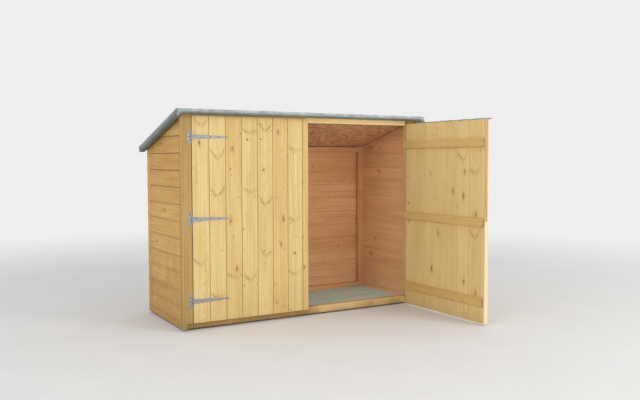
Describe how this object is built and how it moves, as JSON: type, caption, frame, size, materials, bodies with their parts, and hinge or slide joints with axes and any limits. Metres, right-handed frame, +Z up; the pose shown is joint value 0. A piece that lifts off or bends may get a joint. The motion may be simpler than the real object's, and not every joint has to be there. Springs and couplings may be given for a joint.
{
  "type": "bike shelter",
  "caption": "A low timber bike shelter with overlap board walls, a felted single-slope roof and two ledged doors on tee hinges, the right one standing open.",
  "frame": {"origin": "on the ground in the middle of the footprint, the face of the front frame, behind the doors, being 350 mm in front of it", "axes": "X runs along the front to the right, Y goes to the back, Z is up; the doors are on the -Y side"},
  "size_m": [1.926, 1.6042, 1.4152],
  "materials": {
    "sawn_timber": "rough sawn, brown stained",
    "floor_boards": "worn grey-green boards",
    "frame_timber": "planed softwood, dipped",
    "cladding": "sawn overlap boards, golden brown",
    "strand_board": "pressed strand board",
    "roofing_felt": "mineral felt, matt grey-green",
    "door_boards": "planed V-jointed pine, honey",
    "door_ledges": "planed softwood",
    "zinc_steel": "galvanised, dull"
  },
  "bodies": {
    "shelter": {"floor_bearer_front": "sawn_timber", "floor_bearer_middle": "sawn_timber", "floor_bearer_back": "sawn_timber", "floor": "floor_boards", "front_sill": "frame_timber", "front_lintel": "frame_timber", "left_corner_board": "frame_timber", "right_corner_board": "frame_timber", "left_front_stud": "frame_timber", "right_front_stud": "frame_timber", "left_wall": "cladding", "right_wall": "cladding", "back_wall": "cladding", "left_side_sill": "cladding", "right_side_sill": "cladding", "back_left_stud": "frame_timber", "back_right_stud": "frame_timber", "back_top_rail": "frame_timber", "back_bottom_rail": "frame_timber", "back_middle_stud": "frame_timber", "roof_board": "strand_board", "roof_batten_left": "frame_timber", "roof_batten_right": "frame_timber", "roof_batten_front": "frame_timber", "roof_batten_back": "frame_timber", "roof_felt": "roofing_felt", "left_hinge_plate_top": "zinc_steel", "left_hinge_plate_middle": "zinc_steel", "left_hinge_plate_bottom": "zinc_steel", "right_hinge_plate_top": "zinc_steel", "right_hinge_plate_middle": "zinc_steel", "right_hinge_plate_bottom": "zinc_steel"},
    "left_door": {"left_door_boards": "door_boards", "left_door_ledge_top": "door_ledges", "left_door_ledge_middle": "door_ledges", "left_door_ledge_bottom": "door_ledges", "left_hinge_strap_top": "zinc_steel", "left_hinge_strap_middle": "zinc_steel", "left_hinge_strap_bottom": "zinc_steel"},
    "right_door": {"right_door_boards": "door_boards", "right_door_ledge_top": "door_ledges", "right_door_ledge_middle": "door_ledges", "right_door_ledge_bottom": "door_ledges", "right_hinge_strap_top": "zinc_steel", "right_hinge_strap_middle": "zinc_steel", "right_hinge_strap_bottom": "zinc_steel", "right_door_closing_lath": "door_boards"}
  },
  "joints": [
    {"name": "left_door_hinge", "type": "hinge", "parent": "shelter", "child": "left_door", "pos_m": [-0.85, -0.377, 0.716], "axis": [0, 0, -1], "range_deg": [0, 135]},
    {"name": "right_door_hinge", "type": "hinge", "parent": "shelter", "child": "right_door", "pos_m": [0.85, -0.377, 0.679], "axis": [0, 0, 1], "range_deg": [-91, 44]}
  ]
}
